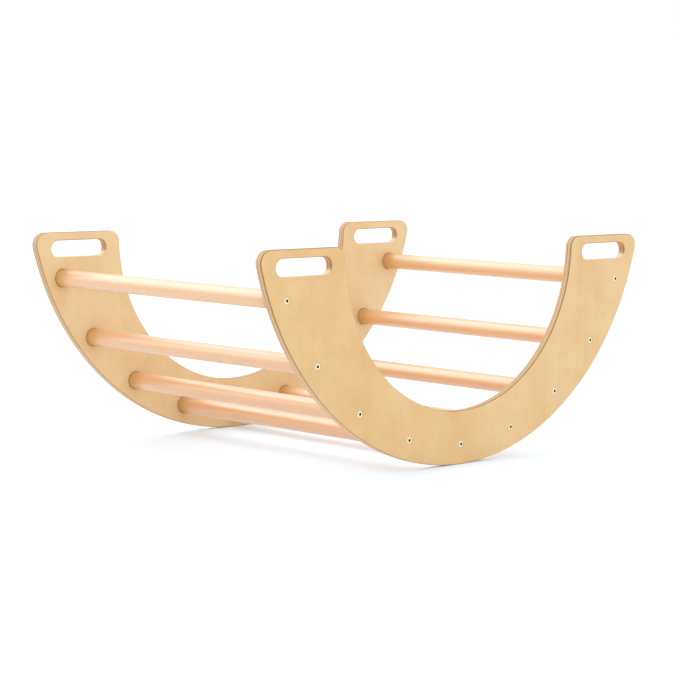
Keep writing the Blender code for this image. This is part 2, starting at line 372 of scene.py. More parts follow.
# %% Fill the two flat faces and finish the panel
middle_y = OUTER_Y + PANEL_THICKNESS / 2
open_rims = [edge for edge in shape.edges if edge.is_boundary]
outer_rims = [edge for edge in open_rims if edge.verts[0].co.y < middle_y]
inner_rims = [edge for edge in open_rims if edge.verts[0].co.y > middle_y]
flats = []
for rims in (outer_rims, inner_rims):
    made = bmesh.ops.triangle_fill(shape, use_beauty=True, use_dissolve=False, edges=rims)
    flats += [item for item in made["geom"] if isinstance(item, bmesh.types.BMFace)]
bmesh.ops.recalc_face_normals(shape, faces=shape.faces)
open_edges = sum(not edge.is_manifold for edge in shape.edges)
turned_edges = sum(not edge.is_contiguous for edge in shape.edges)
print(f"panel: {len(shape.faces)} faces, {open_edges} open edges, {turned_edges} turned ones")
near_panel = finish_piece(shape, "near_side_panel", flats)

# %% [markdown]
# The far panel is the same part turned round, so that its sockets face inwards. A mirror
# would turn its faces inside out, but half a turn about the upright axis doesn't, and the
# outline is the same from both sides.

# %% Turn a copy into the far panel
far_mesh = near_panel.data.copy()
far_mesh.name = "far_side_panel"
far_mesh.transform(Matrix.Rotation(math.pi, 4, "Z"))
far_panel = bpy.data.objects.new("far_side_panel", far_mesh)
bpy.context.scene.collection.objects.link(far_panel)
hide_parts("side_panel_front")
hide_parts("side_panel_back")
print("panels:", near_panel.name, "and", far_panel.name)

# %% [markdown]
# ## The rungs
# Each rung is a beech dowel, sanded smooth and varnished. Its ends sit in the sockets,
# where they can't be seen, and have a small chamfer so that they go in easily. A bore in
# each end holds a brass insert. A plain cylinder would do for the part that shows. The
# turned profile costs no more, and it has the bores too.

# %% Turn the rungs
RUNG_RADIUS = 0.016
RUNG_CHAMFER = 0.0012
BORE_RADIUS = 0.0053
BORE_DEPTH = 0.024
RUNG_STEPS = 64

rungs = []
for number, (x, z) in enumerate(rung_places, start=1):
    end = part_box(f"rung_{number}")[1].y
    half = [
        (0.0, end - BORE_DEPTH),
        (BORE_RADIUS, end - BORE_DEPTH),
        (BORE_RADIUS, end),
        (RUNG_RADIUS - RUNG_CHAMFER, end),
        (RUNG_RADIUS, end - RUNG_CHAMFER),
    ]
    profile = half + [(radius, -y) for radius, y in reversed(half)]
    shape = turned(profile, RUNG_STEPS)
    bmesh.ops.translate(shape, vec=(x, 0.0, z), verts=shape.verts)
    rung = finish_piece(shape, f"round_rung_{number}")
    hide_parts(f"rung_{number}")
    rungs.append(rung)
print("rungs:", len(rungs), "of", round(2 * end * 1000, 1), "mm")

# %% [markdown]
# ## The bolts
# From outside, only the flat head of each bolt shows, with a hexagon socket in it. The
# body is turned, with a small bevel round the head that catches the light. The top is
# filled between the head's rim and a hexagon, and the hexagon is pushed in for the
# socket. Its floor is poked to a shallow cone, as a drill leaves it.
#
# The socket and its mouth are painted dark, as painted shade in the recess. Every point
# of the socket carries a number for that painted shade, and the head's ring starts where
# it ends.

# %% Give the bolt's sizes
HEAD_RADIUS = 0.006
HEAD_RIM = 0.0006
HEAD_BEVEL = 0.00025
SHANK_RADIUS = 0.003
TIP_BEVEL = 0.0006
HEX_ACROSS = 0.004
HEX_RADIUS = HEX_ACROSS / 2 / math.cos(math.pi / 6)
HEX_DEPTH = 0.0026
DRILL_POINT = 0.0006
SOCKET_SHADE_REACH = 0.0031
HAIR = 1e-5
BOLT_STEPS = 48
print(f"bolt heads {2 * HEAD_RADIUS * 1000:.0f} mm, key {HEX_ACROSS * 1000:.0f} mm")


# %% Make one bolt, with its head's top at zero
def bolt_shape(length):
    """A countersunk bolt along +Y from its head, which faces -Y."""
    profile = [
        (SOCKET_SHADE_REACH, 0.0),
        (HEAD_RADIUS - HEAD_BEVEL, 0.0),
        (HEAD_RADIUS, HEAD_BEVEL),
        (HEAD_RADIUS, HEAD_RIM),
        (SHANK_RADIUS, HEAD_RIM + HEAD_RADIUS - SHANK_RADIUS),
        (SHANK_RADIUS, length - TIP_BEVEL),
        (SHANK_RADIUS - TIP_BEVEL, length),
        (0.0, length),
    ]
    shape = turned(profile, BOLT_STEPS)
    rim = [edge for edge in shape.edges if edge.is_boundary]
    hexagon = circle(shape, (0.0, 0.0, 0.0), HEX_RADIUS, 6)
    bmesh.ops.triangle_fill(shape, use_beauty=True, use_dissolve=False, edges=rim + hexagon)
    made = bmesh.ops.extrude_edge_only(shape, edges=hexagon)["geom"]
    corners = [item for item in made if isinstance(item, bmesh.types.BMVert)]
    sides = [item for item in made if isinstance(item, bmesh.types.BMEdge)]
    bmesh.ops.translate(shape, vec=(0.0, HEX_DEPTH, 0.0), verts=corners)
    floor_edges = [edge for edge in sides if all(vert in corners for vert in edge.verts)]
    floor = bmesh.ops.contextual_create(shape, geom=floor_edges)["faces"]
    point = bmesh.ops.poke(shape, faces=floor)["verts"]
    bmesh.ops.translate(shape, vec=(0.0, DRILL_POINT, 0.0), verts=point)
    # The socket's points carry painted shade for the dark recess.
    socket_shade_layer = shape.verts.layers.float.new("socket_shade")
    for vert in shape.verts:
        # A hair is added because the places of the points are rounded.
        from_axis = math.hypot(vert.co.x, vert.co.z)
        if from_axis < HEX_RADIUS + HAIR and vert.co.y < HEX_DEPTH + DRILL_POINT + HAIR:
            vert[socket_shade_layer] = 1.0
    bmesh.ops.recalc_face_normals(shape, faces=shape.faces)
    return shape


# %% [markdown]
# A bolt is turned in tight by hand, so its hexagon stops at any angle. Each one here gets
# its own. The bolts of the far panel are turned round to face the other way.

# %% Place the bolts in both panels
HEX_TURN = 0.7

bolts = []
for side, turn in (("front", 0.0), ("back", math.pi)):
    for number in range(1, RUNG_COUNT + 1):
        low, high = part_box(f"bolt_{side}_{number}")
        length = high.y - low.y
        head_y = low.y if side == "front" else high.y
        head = Vector(((low.x + high.x) / 2, head_y, (low.z + high.z) / 2))
        shape = bolt_shape(length)
        hexagon_turn = Matrix.Rotation(HEX_TURN * number + turn, 4, "Y")
        place = Matrix.Translation(head) @ Matrix.Rotation(turn, 4, "Z") @ hexagon_turn
        bmesh.ops.transform(shape, matrix=place, verts=shape.verts)
        bolt = finish_piece(shape, f"countersunk_bolt_{side}_{number}")
        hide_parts(f"bolt_{side}_{number}")
        bolts.append(bolt)
print("bolts:", len(bolts), "of", round(length * 1000, 1), "mm")

# %% [markdown]
# ## The finishes
# Every finish is a procedural material. Its patterns read Object coordinates, which here
# are metres in the toy's own frame, because each object sits at the origin. So a scale of
# 100 means a hundred repeats in a metre, and a pattern can be given its real size.
#
# A few helpers keep the node trees short to write and easy to read. Each adds one node
# at a place in the editor, so that the finished tree can be opened and read there too.

# %% Start a material
def new_material(name, colour):
    """A material with its node tree, its nodes, links and main shader."""
    material = bpy.data.materials.new(name)
    material.use_nodes = True
    material.diffuse_color = (*colour, 1.0)
    tree = material.node_tree
    return material, tree, tree.nodes["Principled BSDF"]


# %% Add any node
def node(tree, kind, x, y, **settings):
    """Adds a node and sets its properties and, by name, its input values."""
    made = tree.nodes.new(kind)
    made.location = (x, y)
    for key, value in settings.items():
        if hasattr(made, key):
            setattr(made, key, value)
        else:
            made.inputs[key.replace("_", " ")].default_value = value
    return made


# %% Add a Math node
def maths(tree, operation, x, y, first, second=None, third=None, clamp=False):
    """A Math node. Each operand is a socket to link or a plain number."""
    made = tree.nodes.new("ShaderNodeMath")
    made.operation = operation
    made.use_clamp = clamp
    made.location = (x, y)
    for socket, value in zip(made.inputs, (first, second, third)):
        if isinstance(value, bpy.types.NodeSocket):
            tree.links.new(value, socket)
        elif value is not None:
            socket.default_value = value
    return made.outputs[0]


# %% Add a Mix node for colours
MIX_FACTOR, MIX_A, MIX_B, MIX_RESULT = 0, 6, 7, 2


def blend_colours(tree, x, y, factor, first, second):
    """A colour Mix node. The factor and colours are sockets to link or plain values. Its
    sockets go by number, because those for numbers and vectors have the same names."""
    made = tree.nodes.new("ShaderNodeMix")
    made.data_type = "RGBA"
    made.location = (x, y)
    for place, value in ((MIX_FACTOR, factor), (MIX_A, first), (MIX_B, second)):
        socket = made.inputs[place]
        if isinstance(value, bpy.types.NodeSocket):
            tree.links.new(value, socket)
        else:
            socket.default_value = value if place == MIX_FACTOR else (*value, 1.0)
    return made.outputs[MIX_RESULT]


# %% Add a Mapping node
def mapped(tree, x, y, source, scale, location=(0.0, 0.0, 0.0)):
    """Stretches coordinates: a small scale along an axis makes long marks along it."""
    made = tree.nodes.new("ShaderNodeMapping")
    made.location = (x, y)
    made.inputs["Scale"].default_value = scale
    made.inputs["Location"].default_value = location
    tree.links.new(source, made.inputs["Vector"])
    return made.outputs["Vector"]


# %% Add a Noise Texture
def noise(tree, x, y, vector, scale, detail=3.0, roughness=0.5, distortion=0.0):
    """A Noise Texture's value output, about 0.5 on average."""
    made = tree.nodes.new("ShaderNodeTexNoise")
    made.location = (x, y)
    made.inputs["Scale"].default_value = scale
    made.inputs["Detail"].default_value = detail
    made.inputs["Roughness"].default_value = roughness
    made.inputs["Distortion"].default_value = distortion
    tree.links.new(vector, made.inputs["Vector"])
    return made.outputs["Fac"]


# %% [markdown]
# ### A group for wood grain
# Both woods have the same kinds of mark: broad soft bands, thin streaks and very fine
# fibres, all long in one direction. Both materials use them at their own sizes, so they
# are a node group. Its coordinates come in already stretched along the grain. It gives
# one value for the colour and one for the relief of the surface.

# %% Start a node group
def new_group(name, inputs, outputs):
    """An empty shader node group with its inputs and outputs, and its two end nodes."""
    group = bpy.data.node_groups.new(name, "ShaderNodeTree")
    for label, kind, value in inputs:
        socket = group.interface.new_socket(label, in_out="INPUT", socket_type=kind)
        if value is not None:
            socket.default_value = value
    for label in outputs:
        group.interface.new_socket(label, in_out="OUTPUT", socket_type="NodeSocketFloat")
    start = group.nodes.new("NodeGroupInput")
    start.location = (-900, 0)
    end = group.nodes.new("NodeGroupOutput")
    end.location = (700, 0)
    return group, start, end


# %% Build the wood grain group
STREAK_RELIEF = 0.4

grain_group, start, end = new_group(
    "wood_grain",
    [
        ("Stretched", "NodeSocketVector", None),
        ("Bands", "NodeSocketFloat", 0.4),
        ("Streaks", "NodeSocketFloat", 0.3),
        ("Fibres", "NodeSocketFloat", 0.2),
    ],
    ["Tone", "Relief"],
)
stretched = start.outputs["Stretched"]
bands = noise(grain_group, -600, 300, stretched, 0.35, 2.0, 0.5, 0.6)
streaks = noise(grain_group, -600, 100, stretched, 2.2, 4.0, 0.6, 0.3)
fibres = noise(grain_group, -600, -100, stretched, 14.0, 3.0, 0.65)
tone = 0.5
row = 300
for mark, label in ((bands, "Bands"), (streaks, "Streaks"), (fibres, "Fibres")):
    centred = maths(grain_group, "SUBTRACT", -400, row, mark, 0.5)
    weight = start.outputs[label]
    tone = maths(grain_group, "MULTIPLY_ADD", -150, row, centred, weight, tone)
    row -= 200
grain_group.links.new(tone, end.inputs["Tone"])
relief = maths(grain_group, "MULTIPLY_ADD", 100, -200, streaks, STREAK_RELIEF, fibres)
grain_group.links.new(relief, end.inputs["Relief"])
print("grain group inputs:", [socket.name for socket in start.outputs][:-1])


# %% Place the grain group in a material
def add_grain(tree, x, y, stretched, bands, streaks, fibres):
    """Places the wood grain group on stretched coordinates and returns the node."""
    made = tree.nodes.new("ShaderNodeGroup")
    made.node_tree = grain_group
    made.location = (x, y)
    tree.links.new(stretched, made.inputs["Stretched"])
    made.inputs["Bands"].default_value = bands
    made.inputs["Streaks"].default_value = streaks
    made.inputs["Fibres"].default_value = fibres
    return made


# %% [markdown]
# ### Birch plywood
# The faces are pale birch veneer with the grain upright and hardly any contrast. The cut
# edge is different: there the plies show as stripes. The face veneer is very thin, so the
# round-over cuts through it and lays the next ply bare. That ply is cut across its fibres
# and is dark, so a dark line follows every edge of the panel. It is what makes the edges
# look crisp, also from far off.
#
# A ply is brown where the edge cuts across its fibres and pale where it cuts along them.
# So the stripes aren't the same all round the panel. There is one list of colours for the
# upright edges of the arms, one for the cradle, which faces up and has its pale plies
# painted darker as painted shade, and one for the rocking edge, which faces down and has
# its plies painted cream as painted light.
#
# A stripe texture could be laid along the edge with a UV map. The depth under the outer
# face is simpler, because the whole panel lies between two known values of Y. A colour
# ramp over that depth is a picture of the layers, and each stop sits at its real depth.

# %% Mix the birch's colours
FACE_BIRCH = (0.890, 0.612, 0.300)
FACE_BIRCH_DARK = (0.790, 0.486, 0.200)
PALE_BIRCH = (0.980, 0.790, 0.495)
PALE_BIRCH_DARK = (0.900, 0.625, 0.330)
SOCKET_SHADE_COLOUR = (0.500, 0.340, 0.160)
SLOT_SHADE_BROWN = (0.400, 0.160, 0.035)
SLOT_LIT_CREAM = (1.000, 0.850, 0.600)
CREAM_PLY = (0.910, 0.650, 0.420)
PALE_PLY = (0.830, 0.555, 0.330)
SHADY_PLY = (0.570, 0.390, 0.200)
TAN_PLY = (0.660, 0.395, 0.180)
UMBER_PLY = (0.400, 0.235, 0.095)
DARK_PLY = (0.260, 0.140, 0.035)
GLUE_BROWN = (0.150, 0.078, 0.016)
print("the darkest ply has", f"{DARK_PLY[0] / PALE_PLY[0]:.0%}", "of the pale one's red")

# %% List the plies of the three cuts by depth
GLUE_WIDTH = 0.0002
PLY_DEPTHS = (0.0, 0.0003, 0.0019, 0.0052, 0.0084, 0.0102, 0.0131, 0.0145)
UPRIGHT_CUT = (
    PALE_PLY, DARK_PLY, TAN_PLY, PALE_PLY, UMBER_PLY, PALE_PLY, UMBER_PLY, PALE_PLY
)
# The cradle faces up: its pale plies are painted shady, as painted shade.
CRADLE_CUT = (
    PALE_PLY, DARK_PLY, SHADY_PLY, SHADY_PLY, TAN_PLY, SHADY_PLY, TAN_PLY, SHADY_PLY
)
# The rocking edge faces down: its plies are painted cream, as painted light.
ROCKER_CUT = (
    CREAM_PLY, TAN_PLY, CREAM_PLY, CREAM_PLY, CREAM_PLY, CREAM_PLY, TAN_PLY, CREAM_PLY
)


def with_glue(colours):
    """The (depth, colour) stops of the plies, with a thin glue line before each."""
    stops = [(PLY_DEPTHS[0], colours[0])]
    for start, colour in zip(PLY_DEPTHS[1:], colours[1:]):
        stops += [(start, GLUE_BROWN), (start + GLUE_WIDTH, colour)]
    return stops


print("plies:", len(PLY_DEPTHS), "stops in a ramp:", len(with_glue(UPRIGHT_CUT)))

# %% [markdown]
# Both panels have their outer face equally far from the middle of the toy. So the size of
# Y, without its sign, gives the depth in either panel. A slow noise lets the plies waver
# by a fraction of a millimetre, as real ones do.

# %% Measure the depth in the plywood
PLY_WAVER = 0.00035

plywood, tree, shader = new_material("birch_plywood_finish", FACE_BIRCH)
coordinates = tree.nodes.new("ShaderNodeTexCoord")
coordinates.location = (-2200, 0)
spot = coordinates.outputs["Object"]
place_xyz = node(tree, "ShaderNodeSeparateXYZ", -2000, -300)
tree.links.new(spot, place_xyz.inputs[0])
across = maths(tree, "ABSOLUTE", -1800, -300, place_xyz.outputs["Y"])
depth = maths(tree, "SUBTRACT", -1650, -300, abs(OUTER_Y), across)
waver = noise(tree, -1800, -480, spot, 22.0, 1.0)
waver = maths(tree, "SUBTRACT", -1650, -480, waver, 0.5)
wavered = maths(tree, "MULTIPLY_ADD", -1500, -300, waver, PLY_WAVER, depth)
share = maths(tree, "DIVIDE", -1350, -300, wavered, PANEL_THICKNESS)
print(f"plies waver by up to {PLY_WAVER / 2 * 1000:.2f} mm either way")


# %% Draw the layers as ramps over the depth
def layer_ramp(tree, x, y, source, stops):
    """A stepped ramp over the thickness from (depth, colour) stops."""
    made = tree.nodes.new("ShaderNodeValToRGB")
    made.location = (x, y)
    ramp = made.color_ramp
    ramp.interpolation = "CONSTANT"
    ramp.elements.remove(ramp.elements[1])
    for number, (start, colour) in enumerate(stops):
        stop = ramp.elements.new(start / PANEL_THICKNESS) if number else ramp.elements[0]
        stop.color = (*colour, 1.0)
    tree.links.new(source, made.inputs["Fac"])
    return made.outputs["Color"]


BLACK, WHITE = (0.0, 0.0, 0.0), (1.0, 1.0, 1.0)
upright_cut = layer_ramp(tree, -1150, -100, share, with_glue(UPRIGHT_CUT))
cradle_cut = layer_ramp(tree, -1150, -350, share, with_glue(CRADLE_CUT))
rocker_cut = layer_ramp(tree, -1450, -600, share, with_glue(ROCKER_CUT))
veneer_stops = [(0.0, BLACK), (PLY_DEPTHS[1], WHITE), (PLY_DEPTHS[-1] + GLUE_WIDTH, BLACK)]
cut_edge = layer_ramp(tree, -1150, -600, share, veneer_stops)
print("ramps: three cuts, and one that tells the cut edge from the two faces")

# %% [markdown]
# The normal says which way a bit of the edge faces. The size of its Z is near 0 on an
# upright edge and 1 on a level one, and a Map Range node turns that into a soft change
# from one list of stripes to the other. The sign of Z tells the cradle from the rocking
# edge. A very fine noise breaks the stripes up a little, as the ends of fibres do.

# %% Colour the cut edges
LEVEL_FROM, LEVEL_TO = 0.30, 0.85
END_GRAIN_SHARE = 0.35

facing_xyz = node(tree, "ShaderNodeSeparateXYZ", -1350, -800)
tree.links.new(coordinates.outputs["Normal"], facing_xyz.inputs[0])
facing_up = maths(tree, "GREATER_THAN", -1150, -1000, facing_xyz.outputs["Z"], 0.0)
flatness = maths(tree, "ABSOLUTE", -1150, -850, facing_xyz.outputs["Z"])
level = node(tree, "ShaderNodeMapRange", -950, -850, interpolation_type="SMOOTHSTEP",
             From_Min=LEVEL_FROM, From_Max=LEVEL_TO)
tree.links.new(flatness, level.inputs["Value"])
# Up-facing edges take the painted shade, down-facing ones the painted light.
level_cut = blend_colours(tree, -950, -350, facing_up, rocker_cut, cradle_cut)
edge_colour = blend_colours(tree, -800, -200, level.outputs["Result"], upright_cut, level_cut)
end_grain = noise(tree, -1000, -500, spot, 1400.0, 2.0)
end_grain = maths(tree, "MULTIPLY", -800, -450, end_grain, END_GRAIN_SHARE)
edge_colour = blend_colours(tree, -600, -200, end_grain, edge_colour, TAN_PLY)
turns = [round(math.degrees(math.asin(value))) for value in (LEVEL_FROM, LEVEL_TO)]
print("the stripes change where the edge faces", turns, "degrees up or down")

# %% [markdown]
# The veneer has long upright grain, and over it a soft mottle that runs in no direction,
# as rotary cut birch has. Both are centred on one half, so that the mix of the lighter and
# the darker birch stays even.

# %% Colour the veneer of the faces
VENEER_STRETCH = (26.0, 9.0, 1.6)
VENEER_SHIFT = (3.0, 7.0, 0.0)
MOTTLE = 1.50

stretched = mapped(tree, -1300, 500, spot, VENEER_STRETCH, VENEER_SHIFT)
upright = add_grain(tree, -1100, 500, stretched, bands=0.9, streaks=0.55, fibres=0.22)
mottle = noise(tree, -1100, 250, spot, 17.0, 4.0, 0.65)
tone = maths(tree, "MULTIPLY_ADD", -850, 400, mottle, MOTTLE, upright.outputs["Tone"])
tone = maths(tree, "SUBTRACT", -700, 400, tone, MOTTLE / 2, clamp=True)
face_colour = blend_colours(tree, -500, 450, tone, FACE_BIRCH_DARK, FACE_BIRCH)
pale_colour = blend_colours(tree, -500, 650, tone, PALE_BIRCH_DARK, PALE_BIRCH)
print("veneer grain:", round(VENEER_STRETCH[0] / VENEER_STRETCH[2]), "times as long as wide")

# %% [markdown]
# The veneer gets paler to the right. The inner face of the far panel is painted palest,
# as painted light, because less light reaches it between the panels. Two materials could
# do this, but a mask from X and Y keeps it in one, and the panels stay the same part.

# %% Make the veneer paler to the right, with painted light on the far inner face
MIDDLE_PALENESS = 0.10
PALER_PER_METRE = 0.45
FAR_INNER_PAINTED_LIGHT = 0.65

sideways = maths(tree, "MULTIPLY_ADD", -1100, 800, place_xyz.outputs["X"],
                 PALER_PER_METRE, MIDDLE_PALENESS)
# Painted light on the far panel's inner face.
far_side = maths(tree, "GREATER_THAN", -1250, 950, place_xyz.outputs["Y"], 0.0)
inside = maths(tree, "GREATER_THAN", -1250, 1100, depth, PLY_DEPTHS[1])
far_inner_light = maths(tree, "MULTIPLY", -1100, 950, far_side, inside)
far_inner_light = maths(tree, "MULTIPLY", -950, 950, far_inner_light, FAR_INNER_PAINTED_LIGHT)
paleness = maths(tree, "MAXIMUM", -800, 850, far_inner_light, sideways, clamp=True)
sheet_colour = blend_colours(tree, -350, 450, paleness, face_colour, pale_colour)
print("paleness of the far inner face:", FAR_INNER_PAINTED_LIGHT)

# %% [markdown]
# The numbers on the panel's points come in through an Attribute node. On the faces they
# bring the painted shade round the rungs. On the cut edges only the slots have any: above
# zero they brown the wall with painted shade, and below zero, with the sign turned round,
# they make it cream with painted light.

# %% Paint shade round the sockets, and light and shade in the slots
shaded = node(tree, "ShaderNodeAttribute", -500, 850, attribute_name="shade")
# Painted shade round the sockets on the faces.
socket_shaded = blend_colours(tree, -200, 450, shaded.outputs["Fac"], sheet_colour, SOCKET_SHADE_COLOUR)
# In the slots, painted shade browns the upper wall and painted light makes the lower wall
# cream.
slot_shading = blend_colours(tree, -350, -100, shaded.outputs["Fac"], edge_colour, SLOT_SHADE_BROWN)
slot_lit = maths(tree, "MULTIPLY", -350, 100, shaded.outputs["Fac"], -1.0, clamp=True)
slot_lit_and_shaded = blend_colours(tree, -200, -100, slot_lit, slot_shading, SLOT_LIT_CREAM)
coloured = blend_colours(tree, -50, 200, cut_edge, socket_shaded, slot_lit_and_shaded)
tree.links.new(coloured, shader.inputs["Base Color"])
print("shades in use:", SLOT_PAINTED_LIGHT, "to", SOCKET_SHADE_RINGS[0][1])

# %% [markdown]
# A thin satin varnish covers the plywood. The fibres still show through it as a slight
# relief, and the cut edges drink it up and stay duller than the faces.

# %% Varnish the plywood
SATIN = 0.40
FIBRE_ROUGHNESS = 0.10
EDGE_ROUGHNESS = 0.25

bump = node(tree, "ShaderNodeBump", -50, -300, Strength=0.10, Distance=0.0004)
tree.links.new(upright.outputs["Relief"], bump.inputs["Height"])
tree.links.new(bump.outputs["Normal"], shader.inputs["Normal"])
satin = maths(tree, "MULTIPLY_ADD", -50, -100, upright.outputs["Relief"],
              FIBRE_ROUGHNESS, SATIN)
satin = maths(tree, "MULTIPLY_ADD", 100, -100, cut_edge, EDGE_ROUGHNESS, satin)
tree.links.new(satin, shader.inputs["Roughness"])
shader.inputs["Coat Weight"].default_value = 0.15
shader.inputs["Coat Roughness"].default_value = 0.30
for panel in (near_panel, far_panel):
    panel.data.materials.append(plywood)
    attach(panel, "root")
print("plywood nodes:", len(tree.nodes))

# %% [markdown]
# ### Beech
# Beech is pinker and closer than birch. Its grain runs along the rung, and it has short
# thin brown flecks. The rungs carry a brighter varnish than the panels, so they take a
# clear pale streak from the light. Each rung is painted a little darker by the panels, as
# painted shade in the corner where the panel keeps light off it.
#
# Nine materials could give the rungs nine tones. One noise does it too: its coordinates
# aren't stretched along the rung but flattened to nothing, so a rung has one value of it
# over its whole length, and the next rung another.

# %% Mix the beech's colours
BEECH = (0.915, 0.540, 0.272)
BEECH_DARK = (0.795, 0.410, 0.182)
BEECH_FLECK = (0.520, 0.260, 0.120)
BEECH_SHADED_END = (0.555, 0.312, 0.065)

beech, tree, shader = new_material("varnished_beech", BEECH)
print("material:", beech.name)

# %% Lay the grain along the rungs
BEECH_STRETCH = (70.0, 2.4, 70.0)
BEECH_SHIFT = (0.0, 1.0, 0.0)
TONE_STRETCH = (9.0, 0.0, 9.0)
OWN_TONE_SHARE = 0.5
TONE_DROP = 0.10

coordinates = tree.nodes.new("ShaderNodeTexCoord")
coordinates.location = (-1600, 0)
spot = coordinates.outputs["Object"]
stretched = mapped(tree, -1300, 300, spot, BEECH_STRETCH, BEECH_SHIFT)
along = add_grain(tree, -1100, 300, stretched, bands=0.6, streaks=0.4, fibres=0.25)
own_tone = noise(tree, -1100, 80, mapped(tree, -1300, 80, spot, TONE_STRETCH), 1.0, 0.0)
tone = maths(tree, "MULTIPLY_ADD", -850, 200, own_tone, OWN_TONE_SHARE,
             along.outputs["Tone"])
tone = maths(tree, "SUBTRACT", -700, 200, tone, TONE_DROP, clamp=True)
plain = blend_colours(tree, -500, 200, tone, BEECH_DARK, BEECH)
print("beech grain:", round(BEECH_STRETCH[0] / BEECH_STRETCH[1]), "times as long as wide")

# %% Add the flecks
FLECK_STRETCH = (900.0, 110.0, 900.0)
FLECK_FROM, FLECK_TO = 0.66, 0.74
FLECK_DARKNESS = 0.45

flecks = noise(tree, -1100, -50, mapped(tree, -1300, -50, spot, FLECK_STRETCH), 1.0, 1.0)
fleck_mask = node(tree, "ShaderNodeMapRange", -850, -50, From_Min=FLECK_FROM,
                  From_Max=FLECK_TO, To_Max=FLECK_DARKNESS)
tree.links.new(flecks, fleck_mask.inputs["Value"])
flecked = blend_colours(tree, -300, 200, fleck_mask.outputs["Result"], plain, BEECH_FLECK)
print(f"flecks about {1000 / FLECK_STRETCH[1]:.0f} by {1000 / FLECK_STRETCH[0]:.0f} mm")

# %% Paint shade on the ends by the panels
END_SHADE_REACH = 0.052
END_SHADE_OVERLAP = 0.002
END_SHADE_DARKNESS = 0.60

inner_face = abs(OUTER_Y) - PANEL_THICKNESS
end_xyz = node(tree, "ShaderNodeSeparateXYZ", -1300, -300)
tree.links.new(spot, end_xyz.inputs[0])
from_middle = maths(tree, "ABSOLUTE", -1100, -300, end_xyz.outputs["Y"])
end_shade = node(tree, "ShaderNodeMapRange", -900, -300, interpolation_type="SMOOTHERSTEP",
              From_Min=inner_face - END_SHADE_REACH, From_Max=inner_face + END_SHADE_OVERLAP,
              To_Max=END_SHADE_DARKNESS)
tree.links.new(from_middle, end_shade.inputs["Value"])
coloured = blend_colours(tree, -100, 200, end_shade.outputs["Result"], flecked, BEECH_SHADED_END)
tree.links.new(coloured, shader.inputs["Base Color"])
print("rung ends darken over", END_SHADE_REACH * 1000, "mm")

# %% [markdown]
# The varnish is a coat over the wood, and a high IOR makes it shine as a thick one does.
# The coat gets thinner where the ends carry painted shade, so the shine dims there too.

# %% Varnish the beech
GLOSS = 0.36
GRAIN_ROUGHNESS = 0.08
SHADE_ON_COAT = -1.5

bump = node(tree, "ShaderNodeBump", -300, -500, Strength=0.08, Distance=0.0003)
tree.links.new(along.outputs["Relief"], bump.inputs["Height"])
tree.links.new(bump.outputs["Normal"], shader.inputs["Normal"])
gloss = maths(tree, "MULTIPLY_ADD", -300, -100, along.outputs["Relief"], GRAIN_ROUGHNESS, GLOSS)
tree.links.new(gloss, shader.inputs["Roughness"])
# The coat thins with the painted shade at the ends.
coat = maths(tree, "MULTIPLY_ADD", -300, -300, end_shade.outputs["Result"], SHADE_ON_COAT, 1.0)
tree.links.new(coat, shader.inputs["Coat Weight"])
shader.inputs["Coat Roughness"].default_value = 0.38
shader.inputs["Coat IOR"].default_value = 1.85
for rung in rungs:
    rung.data.materials.append(beech)
    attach(rung, "root")
print("beech nodes:", len(tree.nodes))

# %% [markdown]
# ### Metals
# The bolts are plated steel, pale and a little warm. Only the sockets in their heads are
# painted dark, as painted shade in the recesses. The inserts inside the rungs are plain
# brass, and their solids have the right shape already, so they keep it and only get a
# finish.
#
# Both metals are lightly tarnished in soft patches, so that is a small group.

# %% Build the tarnish group
TARNISH_FROM = 0.45
SPECK_SHARE = 0.4

tarnish_group, start, end = new_group(
    "metal_tarnish",
    [("Coordinates", "NodeSocketVector", None), ("Amount", "NodeSocketFloat", 0.3)],
    ["Tarnish"],
)
patches = noise(tarnish_group, -600, 100, start.outputs["Coordinates"], 260.0, 3.0, 0.6)
specks = noise(tarnish_group, -600, -100, start.outputs["Coordinates"], 1800.0, 2.0)
both = maths(tarnish_group, "MULTIPLY_ADD", -300, 0, specks, SPECK_SHARE, patches)
spread = maths(tarnish_group, "SUBTRACT", -150, 0, both, TARNISH_FROM, clamp=True)
amount = maths(tarnish_group, "MULTIPLY", 0, 0, spread, start.outputs["Amount"])
tarnish_group.links.new(amount, end.inputs["Tarnish"])
print("tarnish group inputs:", [socket.name for socket in start.outputs][:-1])


# %% Make a metal with tarnish
def new_metal(name, bright, dull, amount, roughness):
    """A metal that goes from its bright to its dull colour in soft patches."""
    metal, tree, shader = new_material(name, bright)
    coordinates = tree.nodes.new("ShaderNodeTexCoord")
    coordinates.location = (-1200, 0)
    patchy = tree.nodes.new("ShaderNodeGroup")
    patchy.node_tree = tarnish_group
    patchy.location = (-900, 0)
    patchy.inputs["Amount"].default_value = amount
    tree.links.new(coordinates.outputs["Object"], patchy.inputs["Coordinates"])
    colour = blend_colours(tree, -500, 100, patchy.outputs["Tarnish"], bright, dull)
    tree.links.new(colour, shader.inputs["Base Color"])
    rough = maths(tree, "ADD", -500, -150, patchy.outputs["Tarnish"], roughness)
    tree.links.new(rough, shader.inputs["Roughness"])
    shader.inputs["Metallic"].default_value = 1.0
    return metal, tree, shader, colour


# %% Finish the bolts
STEEL = (0.940, 0.800, 0.520)
STEEL_DULL = (0.660, 0.540, 0.320)
SOCKET_SHADE_DARK = (0.020, 0.014, 0.006)

steel, tree, shader, colour = new_metal("plated_steel_finish", STEEL, STEEL_DULL, 0.5, 0.28)
